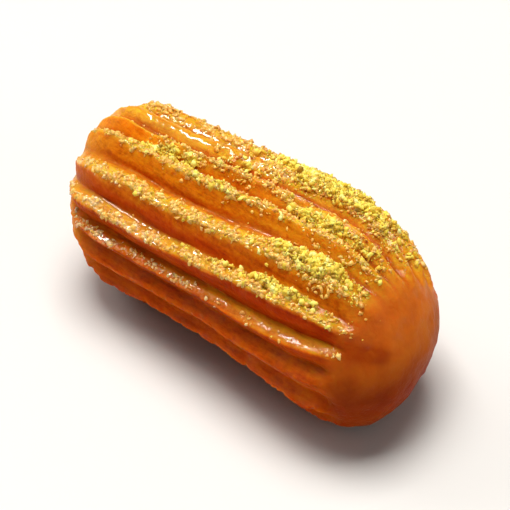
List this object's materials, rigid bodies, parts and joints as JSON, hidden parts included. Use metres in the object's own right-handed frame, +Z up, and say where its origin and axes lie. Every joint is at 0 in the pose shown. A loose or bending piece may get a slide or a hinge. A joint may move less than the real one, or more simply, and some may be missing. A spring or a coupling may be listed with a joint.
{
  "type": "tulumba pastry",
  "caption": "Finger of fluted choux dough, fried and soaked in syrup, with a blunt tail, a smooth rounded dome at the other end and ground nut dust.",
  "frame": {"origin": "under the middle of the piece, at the bottom centre of its box, on the flat where it has settled", "axes": "+X along the piece from the blunt tail to the smooth dome, +Y across it, +Z up from the flat it rests on"},
  "size_m": [0.0652, 0.0304, 0.0291],
  "materials": {
    "fried_dough": null
  },
  "bodies": {
    "root": {"fried_dough": "fried_dough"}
  },
  "joints": []
}
